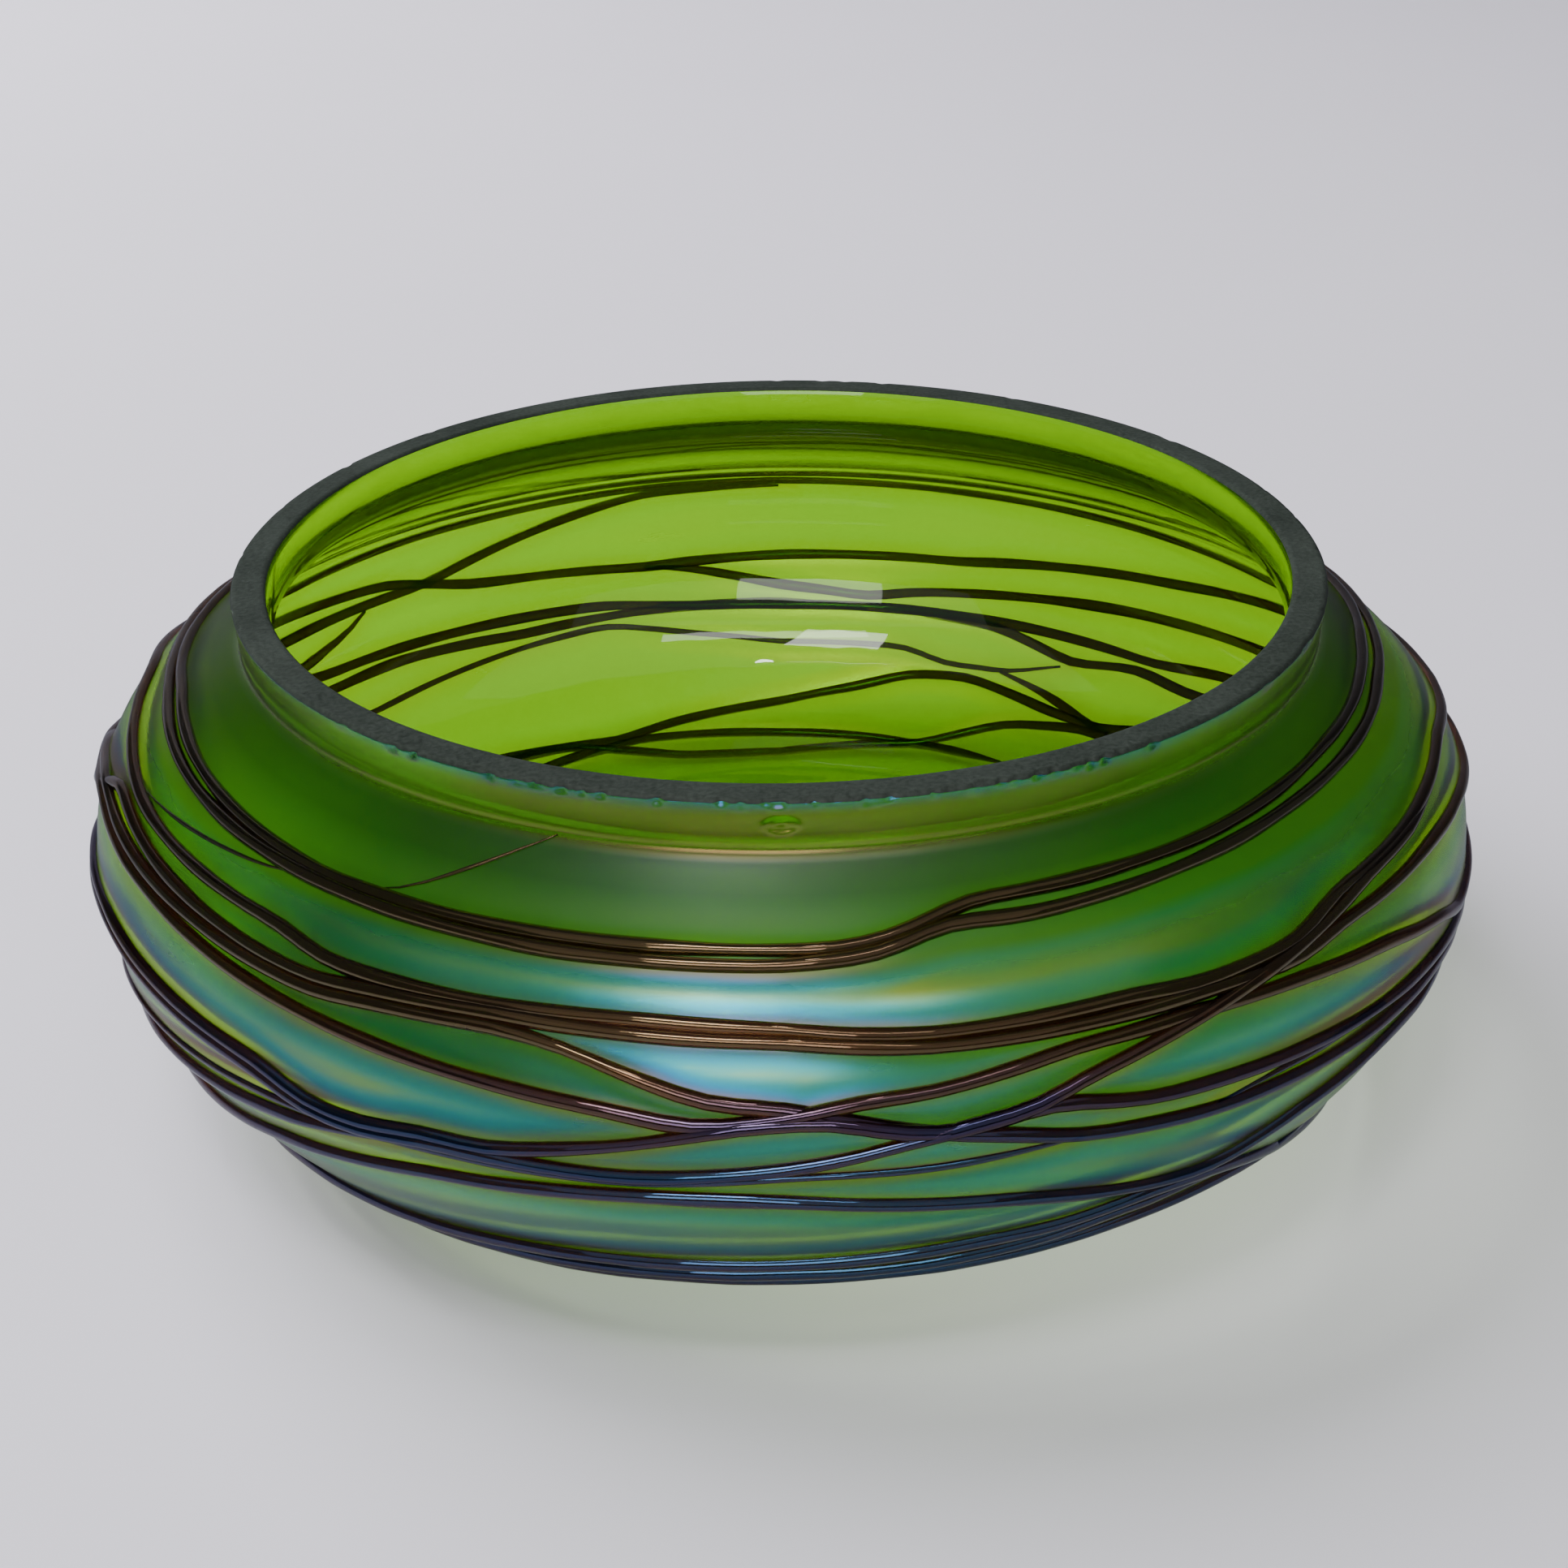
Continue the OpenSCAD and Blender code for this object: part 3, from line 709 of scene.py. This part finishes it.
def ground_glass():
    """The rim's ground face: matt dark grey with fine grain."""
    nodes = Nodes("ground_rim_glass")
    grain = nodes.noise(1600, 4)
    cloud = nodes.noise(70, 3)
    mixed = nodes.math(
        "ADD", nodes.math("MULTIPLY", grain, 0.6), nodes.math("MULTIPLY", cloud, 0.4))
    colour = nodes.ramp(mixed, [(0.3, (0.012, 0.017, 0.012)), (0.7, (0.038, 0.048, 0.038))])
    surface = principled(
        nodes, Base_Color=colour, Roughness=0.6, IOR=1.4,
        Normal=nodes.bump(grain, 0.00015, 0.6))
    nodes.tree.links.new(surface.outputs[0], nodes.output.inputs["Surface"])
    return nodes.material


def thread_glass():
    """Dark red-brown glass with a film of its own: golden on the shoulder, blue lower down."""
    nodes = Nodes("dark_thread_glass")
    cloud = nodes.noise(16, 3, (1, 1, 1.5))
    grain = nodes.noise(300, 3, (1, 1, 1))
    tint = nodes.ramp(cloud, [(0.3, (0.13, 0.06, 0.04)), (0.7, (0.10, 0.06, 0.05))])
    height = nodes.math("DIVIDE", nodes.math("SUBTRACT", nodes.attribute("girth"), 62.0), 14.0,
                        clamp=True)
    film = nodes.scaled(height, THREAD_FILM_GOLD - THREAD_FILM_BLUE, THREAD_FILM_BLUE)
    film = nodes.math("ADD", film, nodes.math("MULTIPLY", nodes.math("SUBTRACT", cloud, 0.5), 50))
    surface = principled(
        nodes, Base_Color=tint, Roughness=0.05, IOR=1.52, Transmission_Weight=1.0,
        Thin_Film_Thickness=film, Thin_Film_IOR=1.8,
        Normal=nodes.bump(grain, 0.00004, 0.3))
    let_lamps_through(nodes, surface.outputs[0], (0.34, 0.35, 0.33))
    absorb(nodes, (0.80, 0.62, 0.50), 1100)
    return nodes.material


def pale_paper():
    """The stage: plain pale paper. What the glass mirrors of it has painted shade: bright in
    front only, darker further off.
    """
    nodes = Nodes("pale_paper")
    colour = nodes.ramp(nodes.noise(3, 3), [(0.3, (0.74, 0.73, 0.77)), (0.7, (0.76, 0.75, 0.79))])
    place = nodes.tree.nodes.new("ShaderNodeTexCoord").outputs["Object"]
    reach = nodes.tree.nodes.new("ShaderNodeVectorMath")
    reach.operation = "DISTANCE"
    nodes.put(reach, 0, place)
    reach.inputs[1].default_value = (0, -0.22, 0)
    # Painted shade in reflections: past a small patch in front of the bowl, the mirrored paper is
    # darker
    dim = nodes.ramp(reach.outputs["Value"], [
        (0.20, (0.50, 0.54, 0.54)), (0.40, (0.14, 0.14, 0.16))])
    path = nodes.tree.nodes.new("ShaderNodeLightPath")
    seen_through = path.outputs["Is Transmission Ray"]
    share = nodes.math("MULTIPLY", path.outputs["Is Glossy Ray"],
                       nodes.math("SUBTRACT", 1.0, seen_through))
    mirrored = nodes.mix_colour("MULTIPLY", colour, dim, share)
    surface = principled(nodes, Base_Color=mirrored, Roughness=0.85)
    nodes.tree.links.new(surface.outputs[0], nodes.output.inputs["Surface"])
    return nodes.material


# ---- putting the object together ----

GREEN, GROUND, DARK = green_glass(), ground_glass(), thread_glass()

body = build_body()
for material in (GREEN, GROUND):
    body.data.materials.append(material)
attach(body, "root")
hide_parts("bowl_shell")

for order, name in enumerate(ROUTES):
    thread = build_thread(name, order)
    thread.data.materials.append(DARK)
    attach(thread, "root")
    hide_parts(name)


# ---- stage, light and camera ----

def build_stage():
    """A floor that curves up into a backdrop."""
    back, bend, top, half = 900.0, 500.0, 2200.0, 2500.0
    line = [(-2500.0, 0.0), (-500.0, 0.0), (back, 0.0)]
    for t in np.linspace(0, np.pi / 2, 16)[1:]:
        line.append((back + bend * np.sin(t), bend - bend * np.cos(t)))
    line.append((back + bend, top))
    points = [(x, y, z) for y, z in line for x in (-half, half)]
    faces = [(2 * i, 2 * i + 1, 2 * i + 3, 2 * i + 2) for i in range(len(line) - 1)]
    stage = make_mesh("stage", points, faces)
    stage.data.materials.append(pale_paper())


def area_light(name, direction, distance, size, power, colour=(1, 1, 1), gloss=True):
    """An area light that looks at the bowl's middle from a direction."""
    data = bpy.data.lights.new(name, "AREA")
    data.shape = "RECTANGLE" if size[0] != size[1] else "DISK"
    data.size, data.size_y = size
    data.energy = power
    data.color = colour
    light = bpy.data.objects.new(name, data)
    way = Vector(direction).normalized()
    light.location = way * distance + Vector((0, 0, 0.04))
    light.rotation_euler = way.to_track_quat("Z", "Y").to_euler()
    light.visible_glossy = gloss
    light.visible_transmission = gloss
    bpy.context.collection.objects.link(light)


def build_lights():
    area_light("room", (-0.85, 0.55, 0.95), 1.6, (1.6, 1.6), 51, (1, 0.97, 1.05), gloss=False)
    area_light("window", (-0.15, -0.44, 0.89), 1.0, (0.24, 0.22), 1.9)
    area_light("strip", (0.04, -0.50, 0.88), 1.0, (0.56, 0.09), 1.0)
    area_light("bulb", (0.04, -0.16, 0.89), 0.9, (0.04, 0.04), 0.15)
    area_light("flash", (-0.10, -0.90, 0.42), 1.0, (0.50, 0.32), 2.2)
    area_light("front_card", (0.0, -0.85, 0.55), 1.3, (2.0, 0.9), 1.9)
    area_light("ceiling", (0.0, -0.35, 0.95), 1.3, (2.4, 1.0), 1.8)
    world = bpy.data.worlds.new("studio")
    world.use_nodes = True
    world.node_tree.nodes["Background"].inputs["Color"].default_value = (0.8, 0.85, 1.0, 1)
    world.node_tree.nodes["Background"].inputs["Strength"].default_value = 0.10
    bpy.context.scene.world = world


def build_camera():
    data = bpy.data.cameras.new("camera")
    data.lens = 53.96
    data.sensor_width = 36
    camera = bpy.data.objects.new("camera", data)
    camera.location = (0.0004, -0.3152, 0.1990)
    tilt = Matrix.Rotation(np.radians(90 - 27.69), 4, "X")
    roll = Matrix.Rotation(np.radians(-0.627), 4, "Z")
    camera.rotation_euler = (tilt @ roll).to_euler()
    bpy.context.collection.objects.link(camera)
    bpy.context.scene.camera = camera


build_stage()
build_lights()
build_camera()
